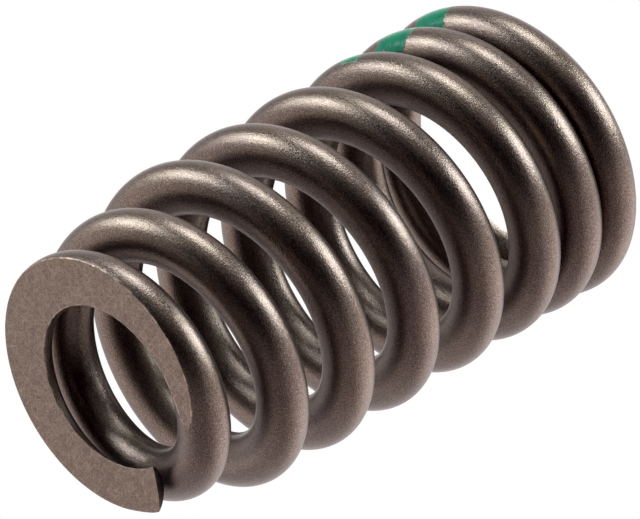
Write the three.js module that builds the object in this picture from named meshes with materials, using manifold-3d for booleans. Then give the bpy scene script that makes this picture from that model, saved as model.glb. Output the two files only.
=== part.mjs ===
// Beehive valve spring: one round-shouldered wire wound right-handed, closed and ground at both ends.
// Millimetres, +Z up the spring's axis. The large end stands on Z = 0, centred on the origin, and the
// small end is on top. The tip of the wire on the small end points along +X.
// The wire is modelled in quarter turns, each its own solid, so that the coils can close up on one
// another as the spring is pressed.
import * as THREE from 'three';
import { mergeVertices } from 'three/addons/utils/BufferGeometryUtils.js';
import Module from 'manifold-3d';

// Wire
const WIRE_WIDTH = 5.48; // across the wire, along the coil's radius
const WIRE_HEIGHT = 4.84; // along the spring's axis
const TURNS = 8.27; // from tip to tip
const TIP_THICKNESS = 1.07; // what grinding leaves of the wire's height at the small end's tip
const SEAT_TIP_THICKNESS = 1.37; // and at the wide end's
const TIP_SKEW = 0.56; // slope of each tip's sheared face off the radius, running on at the inside
const TIP_LEAN = 0.34; // slope of the same face along the axis, leaning back with depth

// Coils: mean radii, and the turns from the small end between which the neck widens
const NECK_RADIUS = 11.04;
const BODY_RADIUS = 13.65;
const NECK_FROM = 0.93;
const NECK_TO = 2.19;
const TIP_FLARE = 0.22; // how far the last of the wire stands out of the coil, being straighter
const FLARE_TURNS = 0.06; // and over how much of a turn

// Pitch: depth gained in one turn, with the turns from the small end between which it changes
const TIP_PITCH = 4.36;
const NECK_PITCH = 8.65;
const OPEN_PITCH = 9.43;
const TIGHT_PITCH = 6.21;
const CLOSED_PITCH = 4.95;
const PITCH_CHANGES = [
  { from: 0.774, to: 0.954, change: NECK_PITCH - TIP_PITCH },
  { from: 1.57, to: 3.7, change: OPEN_PITCH - NECK_PITCH },
  { from: 5.01, to: 6.13, change: TIGHT_PITCH - OPEN_PITCH },
  { from: 6.8, to: 7.49, change: CLOSED_PITCH - TIGHT_PITCH },
];

// Division of the wire
const SEGMENTS = 33; // about a quarter turn each
const END_SEGMENTS = 5; // at each end, the closed coil and the stretch that its tip rests on
const SPLIT_GAP = 0.2; // along the wire between two segments
const STEPS = 6; // facets along a segment
const SIDES = 16; // facets around the wire

const STEEL = { color: 0x5b4f48, roughness: 0.42, metalness: 0.9 };

const wasm = await Module();
wasm.setup();

// How far a smooth change has got, 0 to 1, and the area under it.
function eased(t) {
  const s = THREE.MathUtils.clamp(t, 0, 1);
  return s * s * (3 - 2 * s);
}

function easedArea(t) {
  const s = THREE.MathUtils.clamp(t, 0, 1);
  return s ** 3 - s ** 4 / 2 + Math.max(0, t - 1);
}

// Depth of the wire's centre below the small end's ground face. The tip's centre lies above it.
function depthAt(turn) {
  let depth = TIP_THICKNESS - WIRE_HEIGHT / 2 + TIP_PITCH * turn;
  for (const { from, to, change } of PITCH_CHANGES) {
    depth += change * (to - from) * easedArea((turn - from) / (to - from));
  }
  return depth;
}

function radiusAt(turn) {
  const grown = eased((turn - NECK_FROM) / (NECK_TO - NECK_FROM));
  const flared = 1 - eased(Math.min(turn, TURNS - turn) / FLARE_TURNS);
  return NECK_RADIUS + (BODY_RADIUS - NECK_RADIUS) * grown + TIP_FLARE * flared;
}

const FREE_LENGTH = depthAt(TURNS) + SEAT_TIP_THICKNESS - WIRE_HEIGHT / 2;

// One cross section of the wire, in the plane through the spring's axis. At a tip it slopes out of
// that plane: tip is 1 at the small end's tip, -1 at the wide end's and 0 anywhere else.
function crossSection(turn, tip) {
  const radius = radiusAt(turn);
  const height = FREE_LENGTH - depthAt(turn);
  return Array.from({ length: SIDES }, (_, side) => {
    const around = (2 * Math.PI * side) / SIDES;
    const across = (WIRE_WIDTH / 2) * Math.cos(around);
    const z = height + (WIRE_HEIGHT / 2) * Math.sin(around);
    const depth = tip > 0 ? FREE_LENGTH - z : z;
    const slope = tip * (TIP_SKEW * across + TIP_LEAN * depth);
    const angle = 2 * Math.PI * turn + slope / radius;
    const r = radius + across;
    return [r * Math.cos(angle), -r * Math.sin(angle), z];
  });
}

// A closed solid from its points and its triangles, three numbers for each.
function solidOf(points, triangles) {
  return new wasm.Manifold(
    new wasm.Mesh({
      numProp: 3,
      vertProperties: Float32Array.from(points),
      triVerts: Uint32Array.from(triangles),
    }),
  );
}

// A closed solid through a row of cross sections, with a flat fan over each end.
function sweptWire(sections) {
  const points = sections.flat();
  const faces = [];
  const last = points.length - SIDES;
  for (let i = 0; i < sections.length - 1; i += 1) {
    for (let side = 0; side < SIDES; side += 1) {
      const a = i * SIDES + side;
      const b = i * SIDES + ((side + 1) % SIDES);
      faces.push([a, b, b + SIDES], [a, b + SIDES, a + SIDES]);
    }
  }
  for (let side = 1; side < SIDES - 1; side += 1) {
    faces.push([0, side + 1, side], [last, last + side, last + side + 1]);
  }
  return solidOf(points.flat(), faces.flat());
}

// A block that fills the space from one height to another, to grind an end flat with.
function grindingBlock(bottom, top) {
  const reach = 2 * (BODY_RADIUS + WIRE_WIDTH);
  const box = new THREE.BoxGeometry(reach, reach, top - bottom);
  box.translate(0, 0, (bottom + top) / 2);
  box.deleteAttribute('normal');
  box.deleteAttribute('uv');
  const welded = mergeVertices(box);
  return solidOf(welded.getAttribute('position').array, welded.index.array);
}

const ABOVE = grindingBlock(FREE_LENGTH, FREE_LENGTH + 2 * WIRE_HEIGHT);
const BELOW = grindingBlock(-2 * WIRE_HEIGHT, 0);

// The solid of one segment, between two turns of the wire, ground where it reaches past an end.
function segmentGeometry(index) {
  const length = TURNS / SEGMENTS;
  const halfGap = (turn) => SPLIT_GAP / 2 / (2 * Math.PI * radiusAt(turn));
  const from = index === 0 ? 0 : index * length + halfGap(index * length);
  const to = index === SEGMENTS - 1 ? TURNS : (index + 1) * length - halfGap((index + 1) * length);
  const sections = Array.from({ length: STEPS + 1 }, (_, step) => {
    let tip = 0;
    if (index === 0 && step === 0) {
      tip = 1;
    }
    if (index === SEGMENTS - 1 && step === STEPS) {
      tip = -1;
    }
    return crossSection(from + ((to - from) * step) / STEPS, tip);
  });
  const ground = sweptWire(sections).subtract(ABOVE).subtract(BELOW).getMesh();
  const geometry = new THREE.BufferGeometry();
  geometry.setAttribute('position', new THREE.BufferAttribute(ground.vertProperties, 3));
  geometry.setIndex(new THREE.BufferAttribute(ground.triVerts, 1));
  return geometry.toNonIndexed();
}

// Segments are counted from the small end. Each end coil has its own count, from its tip.
function segmentName(index) {
  if (index < END_SEGMENTS) {
    return `retainer_end_coil_${index + 1}`;
  }
  if (index >= SEGMENTS - END_SEGMENTS) {
    return `seat_end_coil_${SEGMENTS - index}`;
  }
  const active = index - END_SEGMENTS;
  return `coil_${1 + Math.floor(active / 4)}_quarter_${1 + (active % 4)}`;
}

const group = new THREE.Group();
for (let index = 0; index < SEGMENTS; index += 1) {
  const mesh = new THREE.Mesh(segmentGeometry(index), new THREE.MeshStandardMaterial(STEEL));
  mesh.name = segmentName(index);
  group.add(mesh);
}

export default group;
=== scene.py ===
# A beehive valve spring: oil-tempered, shot-peened wire with ground ends and a green brush mark.
# Lengths below are millimetres, as on the spring's drawing, and become metres when a mesh is made.
import math

import bpy
import numpy as np
from mathutils import Matrix, Vector


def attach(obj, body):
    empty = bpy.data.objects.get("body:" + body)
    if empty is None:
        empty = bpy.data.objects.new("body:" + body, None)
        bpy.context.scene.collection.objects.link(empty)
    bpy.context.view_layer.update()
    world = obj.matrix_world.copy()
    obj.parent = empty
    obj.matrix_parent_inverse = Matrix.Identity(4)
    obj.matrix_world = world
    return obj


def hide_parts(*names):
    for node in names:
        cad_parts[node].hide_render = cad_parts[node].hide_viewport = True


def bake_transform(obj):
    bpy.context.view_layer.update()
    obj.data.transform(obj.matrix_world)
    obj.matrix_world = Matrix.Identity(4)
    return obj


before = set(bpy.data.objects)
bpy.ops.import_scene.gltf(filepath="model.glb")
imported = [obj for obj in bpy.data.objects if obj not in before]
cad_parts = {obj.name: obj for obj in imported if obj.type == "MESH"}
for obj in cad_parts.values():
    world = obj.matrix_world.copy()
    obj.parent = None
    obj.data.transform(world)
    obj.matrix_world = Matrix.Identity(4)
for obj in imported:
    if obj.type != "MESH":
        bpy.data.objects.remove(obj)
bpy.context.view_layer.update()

MM = 0.001

# --- The wire and its winding, as in the CAD part -------------------------------------------------
WIRE_WIDTH = 5.48
WIRE_HEIGHT = 4.84
TURNS = 8.27
TIP_THICKNESS = 1.07
SEAT_TIP_THICKNESS = 1.37
TIP_SKEW = 0.56
TIP_LEAN = 0.34
NECK_RADIUS = 11.04
BODY_RADIUS = 13.65
NECK_FROM = 0.93
NECK_TO = 2.19
TIP_FLARE = 0.22
FLARE_TURNS = 0.06
TIP_PITCH = 4.36
NECK_PITCH = 8.65
OPEN_PITCH = 9.43
TIGHT_PITCH = 6.21
CLOSED_PITCH = 4.95
PITCH_CHANGES = [
    (0.774, 0.954, NECK_PITCH - TIP_PITCH),
    (1.57, 3.7, OPEN_PITCH - NECK_PITCH),
    (5.01, 6.13, TIGHT_PITCH - OPEN_PITCH),
    (6.8, 7.49, CLOSED_PITCH - TIGHT_PITCH),
]
SEGMENTS = 33
END_SEGMENTS = 5

# --- Fineness of the visible wire -----------------------------------------------------------------
RINGS_PER_TURN = 144
ARC_POINTS = 64  # around the round part of a section
FACE_POINTS = 18  # across the ground face, or across the top of a round section
FACE_REACH = math.radians(82)  # where those meet on a round section
BREAK = 0.08  # the narrow broken edge around a ground face
TIP_RUN = 4.0  # length over which the tip's slopes fade out
TIP_CORNER = 0.12  # how far the tip's outer corner is worn back


def eased(t):
    s = np.clip(t, 0.0, 1.0)
    return s * s * (3 - 2 * s)


def eased_area(t):
    s = np.clip(t, 0.0, 1.0)
    return s**3 - s**4 / 2 + np.maximum(0.0, t - 1)


def depth_at(turn):
    """Depth of the wire's centre below the small end's ground face."""
    depth = TIP_THICKNESS - WIRE_HEIGHT / 2 + TIP_PITCH * turn
    for start, end, change in PITCH_CHANGES:
        depth = depth + change * (end - start) * eased_area((turn - start) / (end - start))
    return depth


def radius_at(turn):
    grown = eased((turn - NECK_FROM) / (NECK_TO - NECK_FROM))
    flared = 1 - eased(np.minimum(turn, TURNS - turn) / FLARE_TURNS)
    return NECK_RADIUS + (BODY_RADIUS - NECK_RADIUS) * grown + TIP_FLARE * flared


FREE_LENGTH = depth_at(TURNS) + SEAT_TIP_THICKNESS - WIRE_HEIGHT / 2


def section(room):
    """One section of the wire, cut flat at `room` above its centre, as rows of
    (across, up, normal across, normal up, on the ground face, on its broken edge)."""
    a, b = WIRE_WIDTH / 2, WIRE_HEIGHT / 2
    corner = min(math.asin(np.clip(room / b, -1, 1)), FACE_REACH)
    half = a * math.cos(corner)
    step = BREAK / math.hypot(a * math.sin(corner), b * math.cos(corner))
    rows = []
    inset = min(BREAK, half / 3)
    near = min(2 * BREAK, half / 2)
    across = [half - inset, *np.linspace(half - near, near - half, FACE_POINTS - 2), inset - half]
    for i, u in enumerate(across):
        v = b * math.sqrt(max(0.0, 1 - (u / a) ** 2))
        edge = float(i in (0, FACE_POINTS - 1))
        if v > room:
            rows.append((u, room, 0.0, 1.0, 1.0, edge))
        else:
            normal = Vector((u / a**2, v / b**2)).normalized()
            rows.append((u, v, normal.x, normal.y, 0.0, 0.0))
    start = math.pi - corner + step
    end = 2 * math.pi + corner - step
    sharp = float(room < b * math.sin(FACE_REACH))
    turns = [start, *np.linspace(start + 2 * step, end - 2 * step, ARC_POINTS - 2), end]
    for i, angle in enumerate(turns):
        u, v = a * math.cos(angle), b * math.sin(angle)
        normal = Vector((u / a**2, v / b**2)).normalized()
        edge = sharp * float(i in (0, ARC_POINTS - 1))
        rows.append((u, v, normal.x, normal.y, 0.0, edge))
    return np.array(rows)


def wire_piece(name, start, end, tip=None):
    """A closed length of wire between two turns. tip says which of its ends, if any, is cut and
    ground: "small" for the first, "wide" for the last."""
    count = max(2, round((end - start) * RINGS_PER_TURN)) + 1
    turns = np.linspace(start, end, count)
    side = -1.0 if tip == "wide" else 1.0
    points, normals, marks = [], [], []
    for turn in turns:
        depth, radius = float(depth_at(turn)), float(radius_at(turn))
        room = depth if side > 0 else FREE_LENGTH - depth
        rows = section(room)
        across, up = rows[:, 0], rows[:, 1] * side
        shift = np.zeros(len(rows))
        if tip:
            run = 2 * math.pi * radius * (turn - start if tip == "small" else end - turn)
            fade = max(0.0, 1 - run / TIP_RUN)
            half = np.abs(across).max()
            worn = TIP_CORNER * np.maximum(across / half, 0) ** 6
            shift = side * fade * (TIP_SKEW * across + TIP_LEAN * (room - rows[:, 1]) + worn)
        angle = 2 * math.pi * turn + shift / radius
        r = radius + across
        z = FREE_LENGTH - depth + up
        points.append(np.stack([r * np.cos(angle), -r * np.sin(angle), z], axis=1))
        rise = 1e-4
        d_radius = float(radius_at(turn + rise) - radius_at(turn - rise)) / (2 * rise)
        d_depth = float(depth_at(turn + rise) - depth_at(turn - rise)) / (2 * rise)
        round_part = 1 - rows[:, 4]
        slope = (d_radius * rows[:, 2] - d_depth * rows[:, 3] * side) / (2 * math.pi * r) * round_part
        out = np.stack([rows[:, 2], -slope, rows[:, 3] * side], axis=1)
        outward = np.stack([np.cos(angle), -np.sin(angle), np.zeros(len(r))], axis=1)
        onward = np.stack([-np.sin(angle), -np.cos(angle), np.zeros(len(r))], axis=1)
        normal = out[:, :1] * outward + out[:, 1:2] * onward + out[:, 2:] * np.array([0, 0, 1.0])
        normals.append(normal / np.linalg.norm(normal, axis=1, keepdims=True))
        length = np.full(len(r), 2 * math.pi * radius * turn)
        around = np.concatenate([[0.0], np.cumsum(np.hypot(np.diff(across), np.diff(up)))])
        marks.append(np.stack([length, around, rows[:, 4], rows[:, 5]], axis=1))
    return make_mesh(name, np.array(points), np.array(normals), np.array(marks), side)


def make_mesh(name, points, normals, marks, side):
    """A mesh through rings of points, capped at both ends, shaded with the given normals."""
    rings, size = points.shape[:2]
    flat_points = points.reshape(-1, 3)
    corner_normals, faces = [], []
    for i in range(rings - 1):
        for k in range(size):
            a, b = i * size + k, i * size + (k + 1) % size
            quad = (a, b, b + size, a + size) if side > 0 else (a, a + size, b + size, b)
            faces.append(quad)
            corner_normals.extend(normals.reshape(-1, 3)[list(quad)])
    for ring, onward in ((0, -1), (rings - 1, 1)):
        centre = points[ring].mean(axis=0)
        inner = points[1 if ring == 0 else rings - 2].mean(axis=0)
        away = (centre - inner) / np.linalg.norm(centre - inner)
        loop = [ring * size + k for k in range(size)]
        if (onward > 0) == (side > 0):
            loop.reverse()
        loop.reverse()
        faces.append(tuple(loop))
        corner_normals.extend([away] * size)
    mesh = bpy.data.meshes.new(name)
    mesh.from_pydata((flat_points * MM).tolist(), [], faces)
    mesh.polygons.foreach_set("use_smooth", [True] * len(faces))
    for label, kind, values in (
        ("rest_mm", "FLOAT_VECTOR", flat_points),
        ("along_mm", "FLOAT_VECTOR", np.pad(marks.reshape(-1, 4)[:, :2], ((0, 0), (0, 1)))),
        ("ground_face", "FLOAT", marks.reshape(-1, 4)[:, 2]),
        ("broken_edge", "FLOAT", marks.reshape(-1, 4)[:, 3]),
    ):
        attribute = mesh.attributes.new(label, kind, "POINT")
        key = "vector" if kind == "FLOAT_VECTOR" else "value"
        attribute.data.foreach_set(key, values.astype(np.float32).ravel())
    mesh.normals_split_custom_set([tuple(n) for n in corner_normals])
    mesh.validate()
    piece = bpy.data.objects.new(name, mesh)
    bpy.context.scene.collection.objects.link(piece)
    return piece


# --- Materials ------------------------------------------------------------------------------------
class Nodes:
    """A short way to write a node tree."""

    def __init__(self, tree):
        self.tree = tree
        tree.nodes.clear()

    def add(self, kind, inputs=(), **settings):
        node = self.tree.nodes.new(kind)
        for key, value in settings.items():
            setattr(node, key, value)
        for key, value in dict(inputs).items():
            if isinstance(value, bpy.types.NodeSocket):
                self.tree.links.new(value, node.inputs[key])
            else:
                node.inputs[key].default_value = value
        return node

    def attribute(self, name, output="Vector"):
        return self.add("ShaderNodeAttribute", attribute_name=name).outputs[output]

    def math(self, operation, a, b=0.0):
        return self.add("ShaderNodeMath", {0: a, 1: b}, operation=operation).outputs[0]

    def vector(self, operation, a, b, output="Vector"):
        return self.add("ShaderNodeVectorMath", {0: a, 1: b}, operation=operation).outputs[output]

    def noise(self, where, scale, detail=2.0, roughness=0.5):
        inputs = {"Vector": where, "Scale": scale, "Detail": detail, "Roughness": roughness}
        return self.add("ShaderNodeTexNoise", inputs).outputs["Fac"]

    def step(self, value, low, high, to_low=0.0, to_high=1.0):
        inputs = {"Value": value, 1: low, 2: high, 3: to_low, 4: to_high}
        return self.add("ShaderNodeMapRange", inputs, interpolation_type="SMOOTHSTEP").outputs[0]

    def mix(self, factor, a, b):
        node = self.add("ShaderNodeMix", {0: factor}, data_type="RGBA")
        for socket, value in ((node.inputs[6], a), (node.inputs[7], b)):
            if isinstance(value, bpy.types.NodeSocket):
                self.tree.links.new(value, socket)
            else:
                socket.default_value = (*value, 1.0)
        return node.outputs[2]

    def blend(self, factor, a, b):
        return self.add("ShaderNodeMix", {0: factor, 2: a, 3: b}, data_type="FLOAT").outputs[0]

    def turned(self, where, degrees, length, width):
        """Coordinates for marks of one length and width that run at an angle about Z."""
        inputs = {"Vector": where, "Rotation": (0, 0, math.radians(degrees)), "Scale": (length, width, 1)}
        return self.add("ShaderNodeMapping", inputs, vector_type="TEXTURE").outputs[0]


BRONZE = (0.139, 0.103, 0.085)
UMBER = (0.111, 0.081, 0.073)
# Dark and light specks of the peening grain: painted shade and painted glints.
PAINTED_PIT_SHADE = (0.075, 0.053, 0.047)
PAINTED_GLINT = (0.212, 0.161, 0.132)
GROUND_STEEL = (0.226, 0.170, 0.140)
GROUND_DARK = (0.110, 0.080, 0.067)
SCRATCH_STEEL = (0.38, 0.29, 0.235)
# Burrs on the broken edges, brighter than the ground face: partly bare steel, partly a painted highlight.
EDGE_BURR_HIGHLIGHT = (0.32, 0.25, 0.205)
PAINT_GREEN = (0.001, 0.125, 0.070)
PAINT_DARK = (0.0005, 0.095, 0.052)

# The brush mark runs down the outside of the last coils, at this angle round from the wire's tip.
PAINT_ANGLE = math.radians(187)
PAINT_HALF_WIDTH = 2.3
PAINT_THIN_WIDTH = 1.38  # half width where it has thinned out
PAINT_THINS = (9.0, 15.0)  # heights between which it does
PAINT_BEND = (-0.15, -0.1)  # its middle's sideways place at those heights
PAINT_TOUCHES = (14.75, 16.6)  # how far out a coil has to stand to be touched, low and high up
PAINT_TOP = 19.0  # height where it starts, thinly
PAINT_FULL = 10.5  # height below which it reaches round the coils


def scratches(n, where):
    """Grinding marks that cross at several angles, 0 to 1."""
    total = None
    for degrees, length, width, share in (
        (18, 1.5, 0.060, 0.61),
        (-37, 1.2, 0.055, 0.60),
        (71, 1.4, 0.060, 0.62),
        (-74, 1.8, 0.055, 0.61),
    ):
        line = n.noise(n.turned(where, degrees, length, width), 1.0, 1.0)
        line = n.step(line, share, share + 0.09)
        total = line if total is None else n.math("MAXIMUM", total, line)
    return total


def spring_steel():
    material = bpy.data.materials.new("spring_steel")
    material.use_nodes = True
    n = Nodes(material.node_tree)
    rest = n.attribute("rest_mm")
    along = n.attribute("along_mm")
    ground = n.attribute("ground_face", "Fac")
    edge = n.attribute("broken_edge", "Fac")

    # Oiled and peened wire: broad tone, peening grain, and faint lines from drawing it. The grain's light
    # and dark specks in the colour are painted glints and painted shade.
    broad = n.step(n.noise(rest, 0.16, 3.0), 0.35, 0.65)
    grain = n.noise(rest, 8.5, 1.0)
    dimples = n.add("ShaderNodeTexVoronoi", {"Vector": rest, "Scale": 6.5}, feature="SMOOTH_F1").outputs[0]
    drawn = n.noise(n.vector("MULTIPLY", along, (0.06, 2.6, 1.0)), 1.0, 2.0)
    wire_colour = n.mix(broad, UMBER, BRONZE)
    # Painted glints and painted shade: the peening grain lightens and darkens the colour in specks.
    wire_colour = n.mix(n.step(grain, 0.50, 0.70), wire_colour, PAINTED_GLINT)
    wire_colour = n.mix(n.step(grain, 0.50, 0.30), wire_colour, PAINTED_PIT_SHADE)
    wire_rough = n.math("ADD", n.step(drawn, 0.3, 0.7, 0.30, 0.345), n.step(grain, 0.3, 0.7, -0.03, 0.03))

    # Ground faces: dull, finely scratched every way.
    marks = scratches(n, rest)
    grooves = scratches(n, n.vector("ADD", rest, (40.0, 20.0, 0.0)))
    fine = n.noise(rest, 8.0, 1.0)
    face_colour = n.mix(n.step(fine, 0.3, 0.7), GROUND_DARK, GROUND_STEEL)
    face_colour = n.mix(n.math("MULTIPLY", grooves, 0.5), face_colour, GROUND_DARK)
    face_colour = n.mix(n.math("MULTIPLY", marks, 0.6), face_colour, SCRATCH_STEEL)
    face_rough = n.step(fine, 0.3, 0.7, 0.46, 0.56)

    # Burrs along the broken edge, painted brighter: partly bare steel, partly a painted highlight of the
    # edge.
    burr_and_highlight = n.math("MULTIPLY", n.math("POWER", edge, 1.5), n.step(n.noise(rest, 1.3, 3.0), 0.42, 0.62))
    colour = n.mix(ground, wire_colour, face_colour)
    colour = n.mix(burr_and_highlight, colour, EDGE_BURR_HIGHLIGHT)
    rough = n.blend(ground, wire_rough, face_rough)

    # Brush mark: a stripe along the axis that only touches what stands out furthest.
    facing = (math.cos(PAINT_ANGLE), -math.sin(PAINT_ANGLE), 0.0)
    sideways = (facing[1], -facing[0], 0.0)
    split = n.add("ShaderNodeSeparateXYZ", {0: rest})
    ragged = n.math("SUBTRACT", n.noise(n.vector("MULTIPLY", rest, (1, 1, 0.5)), 0.9, 4.0, 0.6), 0.5)
    bend = n.step(split.outputs["Z"], *PAINT_THINS, *PAINT_BEND)
    half_width = n.step(split.outputs["Z"], *PAINT_THINS, PAINT_HALF_WIDTH, PAINT_THIN_WIDTH)
    offset = n.math("ABSOLUTE", n.math("SUBTRACT", n.vector("DOT_PRODUCT", rest, sideways, "Value"), bend))
    offset = n.math("ADD", offset, n.math("MULTIPLY", ragged, 2.2))
    stripe = n.step(n.math("SUBTRACT", offset, half_width), -0.1, 0.1, 1.0, 0.0)
    out = n.vector("DOT_PRODUCT", rest, facing, "Value")
    needed = n.step(split.outputs["Z"], PAINT_FULL, PAINT_TOP, *PAINT_TOUCHES)
    reach = n.math("SUBTRACT", n.math("ADD", out, n.math("MULTIPLY", ragged, 0.7)), needed)
    painted = n.math("MULTIPLY", stripe, n.step(reach, -0.05, 0.1))
    dabs = n.noise(n.vector("MULTIPLY", along, (1.3, 0.5, 1.0)), 1.0, 3.0, 0.6)
    thin = n.step(dabs, 0.28, 0.36)
    painted = n.math("MULTIPLY", painted, thin)
    paint_colour = n.mix(n.step(dabs, 0.35, 0.6), PAINT_DARK, PAINT_GREEN)
    colour = n.mix(painted, colour, paint_colour)
    rough = n.blend(painted, rough, 0.18)
    metal = n.math("SUBTRACT", 1.0, painted)

    # Relief, in millimetres.
    peened = n.math("ADD", n.math("MULTIPLY", grain, 0.034), n.math("MULTIPLY", dimples, 0.014))
    scored = n.math("MULTIPLY", n.math("SUBTRACT", fine, grooves), 0.006)
    relief = n.blend(ground, peened, scored)
    thickness = n.math("MULTIPLY", painted, n.math("ADD", 0.03, n.math("MULTIPLY", dabs, 0.12)))
    filled = n.math("SUBTRACT", 1.0, n.math("MULTIPLY", painted, 0.7))
    relief = n.math("ADD", n.math("MULTIPLY", relief, filled), thickness)
    bump = n.add("ShaderNodeBump", {"Strength": 0.75, "Distance": MM, "Height": relief})

    surface = n.add(
        "ShaderNodeBsdfPrincipled",
        {
            "Base Color": colour,
            "Metallic": metal,
            "Roughness": rough,
            "Specular IOR Level": n.blend(painted, 0.5, 0.16),
            "Normal": bump.outputs[0],
        },
    )
    n.add("ShaderNodeOutputMaterial", {"Surface": surface.outputs[0]})
    return material


# --- The spring -----------------------------------------------------------------------------------
def segment_name(index):
    if index < END_SEGMENTS:
        return f"retainer_end_coil_{index + 1}"
    if index >= SEGMENTS - END_SEGMENTS:
        return f"seat_end_coil_{SEGMENTS - index}"
    active = index - END_SEGMENTS
    return f"coil_{1 + active // 4}_quarter_{1 + active % 4}"


def middle(index):
    """The turn at the middle of a segment."""
    return (index + 0.5) * TURNS / SEGMENTS


def build_spring():
    steel = spring_steel()
    first, last = END_SEGMENTS - 1, SEGMENTS - END_SEGMENTS
    pieces = []

    small = wire_piece("small_end_wire", 0.0, middle(first), tip="small")
    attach(small, "retainer_end")
    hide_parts(*[segment_name(i) for i in range(first + 1)])
    pieces.append(small)

    wide = wire_piece("wide_end_wire", middle(last), TURNS, tip="wide")
    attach(wide, "seat_end")
    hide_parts(*[segment_name(i) for i in range(last, SEGMENTS)])
    pieces.append(wide)

    for index in range(first, last):
        piece = wire_piece(f"wire_{index - first + 1:02d}", middle(index), middle(index + 1))
        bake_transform(piece)
        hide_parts(segment_name(index), segment_name(index + 1))
        pieces.append(piece)

    for piece in pieces:
        piece.data.materials.append(steel)


# --- Studio ---------------------------------------------------------------------------------------
CAMERA_AZIMUTH = math.radians(94.56)  # from the wire's tip
CAMERA_ELEVATION = math.radians(37.48)
CAMERA_ROLL = math.radians(-120.13)
CAMERA_DISTANCE = 671.7
CAMERA_AIM = (-0.145, -0.01, 29.22)
LENS = 379.9


def camera_axes():
    """Right, up and back of the camera, in the spring's frame."""
    back = Vector(
        (
            math.cos(CAMERA_ELEVATION) * math.cos(CAMERA_AZIMUTH),
            math.cos(CAMERA_ELEVATION) * math.sin(CAMERA_AZIMUTH),
            math.sin(CAMERA_ELEVATION),
        )
    )
    level = Vector((0, 0, 1)).cross(back).normalized()
    above = back.cross(level)
    right = level * math.cos(CAMERA_ROLL) + above * math.sin(CAMERA_ROLL)
    return right, back.cross(right), back


def add_camera():
    right, up, back = camera_axes()
    data = bpy.data.cameras.new("camera")
    data.lens = LENS
    data.sensor_width = 36
    data.clip_start, data.clip_end = 0.01, 20
    camera = bpy.data.objects.new("camera", data)
    place = (Vector(CAMERA_AIM) + back * CAMERA_DISTANCE) * MM
    turn = Matrix((right, up, back)).transposed().to_4x4()
    camera.matrix_world = Matrix.Translation(place) @ turn
    bpy.context.scene.collection.objects.link(camera)
    bpy.context.scene.camera = camera


# Softboxes: direction from the spring (right, up, back), width, height and radiance. Metres.
SOFTBOXES = [
    ("top_softbox", (0.0, 0.96, 0.26), 0.30, 0.26, 14.3),
    ("right_softbox", (0.84, 0.47, 0.12), 0.24, 0.50, 14.1),
    ("left_softbox", (-0.80, 0.57, 0.12), 0.24, 0.34, 14.0),
]
SOFTBOX_DISTANCE = 0.6
SOFTBOX_COLOUR = (0.83, 0.98, 1.0)


def add_softbox(name, towards, width, height, radiance):
    """A rectangular light that faces the middle of the spring."""
    right, up, back = camera_axes()
    away = (right * towards[0] + up * towards[1] + back * towards[2]).normalized()
    data = bpy.data.lights.new(name, "AREA")
    data.shape = "RECTANGLE"
    data.size, data.size_y = width, height
    data.energy = radiance * math.pi * width * height
    data.color = SOFTBOX_COLOUR
    light = bpy.data.objects.new(name, data)
    side = back.cross(away).normalized()
    turn = Matrix((side, away.cross(side), away)).transposed().to_4x4()
    light.matrix_world = Matrix.Translation(Vector((0, 0, 0.03)) + away * SOFTBOX_DISTANCE) @ turn
    bpy.context.scene.collection.objects.link(light)


# What surrounds the spring, as seen from it: direction (right, up, back), cosines of the angles
# where each part fades in, brightness and colour.
SURROUNDINGS = [
    ("table", (0.0, -0.85, -0.53), -0.08, 0.5, 0.60, (1.0, 0.93, 0.94)),
    ("backdrop", (0.0, 0.0, -1.0), -0.2, 0.35, 0.42, (1.0, 1.0, 1.0)),
    ("backdrop, top", (0.1, 0.70, -0.70), 0.6, 1.0, 0.80, (1.0, 1.0, 1.0)),
    ("backdrop, foot", (0.0, -0.6, -0.8), 0.8, 1.0, 0.26, (1.0, 1.0, 1.0)),
    ("left wall", (-1.0, 0.0, -0.1), 0.6, 1.0, 1.19, (1.0, 0.98, 0.96)),
    ("right reflector", (0.93, -0.36, -0.05), 0.4, 1.0, 1.45, (1.0, 1.0, 1.0)),
    ("right table", (0.75, -0.50, -0.43), 0.8, 1.0, 0.60, (1.0, 1.0, 1.0)),
    ("table, near", (0.05, -0.73, 0.68), 0.8, 1.0, 0.08, (1.0, 1.0, 1.0)),
    ("ceiling", (0.08, 0.90, 0.43), 0.5, 1.0, 0.62, (1.0, 0.97, 0.92)),
]
ROOM = (0.006, 0.002, 0.003)


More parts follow.
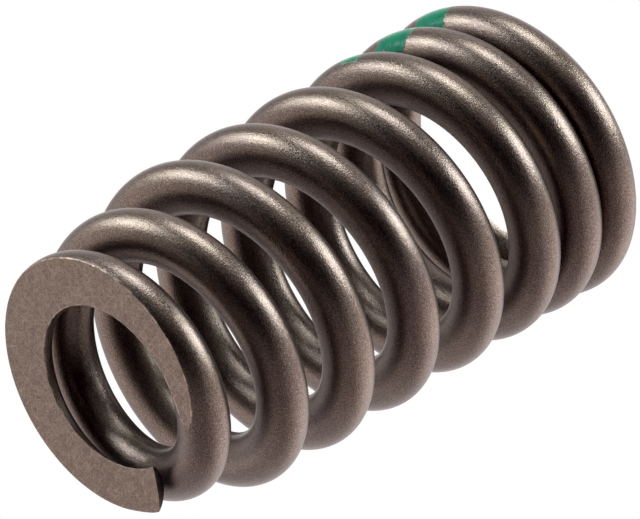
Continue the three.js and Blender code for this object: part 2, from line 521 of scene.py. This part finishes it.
def add_world():
    """White surroundings below and behind the spring, and a dark room on the camera's side."""
    right, up, back = camera_axes()
    world = bpy.data.worlds.new("studio")
    bpy.context.scene.world = world
    world.use_nodes = True
    n = Nodes(world.node_tree)
    direction = n.add("ShaderNodeTexCoord").outputs["Generated"]
    total = ROOM
    for _, (x, y, z), outer, inner, strength, colour in SURROUNDINGS:
        towards = (right * x + up * y + back * z).normalized()
        share = n.step(n.vector("DOT_PRODUCT", direction, tuple(towards), "Value"), outer, inner)
        glow = n.add("ShaderNodeVectorMath", {0: tuple(strength * c for c in colour)}, operation="SCALE")
        n.tree.links.new(share, glow.inputs["Scale"])
        total = n.vector("ADD", total, glow.outputs[0])
    seen = n.add("ShaderNodeLightPath").outputs["Is Camera Ray"]
    lit = n.add("ShaderNodeBackground", {"Color": total, "Strength": 1.0})
    plain = n.add("ShaderNodeBackground", {"Color": (1, 1, 1, 1), "Strength": 1.0})
    mixed = n.add("ShaderNodeMixShader", {0: seen, 1: lit.outputs[0], 2: plain.outputs[0]})
    n.add("ShaderNodeOutputWorld", {"Surface": mixed.outputs[0]})


def add_floor():
    """A white table top, lit through so that it shows no shadow. It is just clear of the base."""
    mesh = bpy.data.meshes.new("floor")
    reach, z = 3.0, -0.1 * MM
    corners = [(-reach, -reach, z), (reach, -reach, z), (reach, reach, z), (-reach, reach, z)]
    mesh.from_pydata(corners, [], [(0, 1, 2, 3)])
    floor = bpy.data.objects.new("floor", mesh)
    bpy.context.scene.collection.objects.link(floor)
    material = bpy.data.materials.new("lit_table")
    material.use_nodes = True
    n = Nodes(material.node_tree)
    glow = n.add("ShaderNodeEmission", {"Color": (1, 1, 1, 1), "Strength": 1.0})
    n.add("ShaderNodeOutputMaterial", {"Surface": glow.outputs[0]})
    mesh.materials.append(material)
    floor.visible_diffuse = False
    floor.visible_glossy = False
    floor.visible_shadow = False


def grade_picture():
    """More contrast than a plain render, with deep shadows that lean a little to purple."""
    grade = bpy.context.scene.view_settings
    grade.view_transform = "Standard"
    grade.gamma = 0.92
    grade.use_curve_mapping = True
    grade.curve_mapping.black_level = (0.0030, 0.0035, 0.0023)
    grade.curve_mapping.update()


build_spring()
add_camera()
add_world()
add_floor()
for softbox in SOFTBOXES:
    add_softbox(*softbox)
grade_picture()
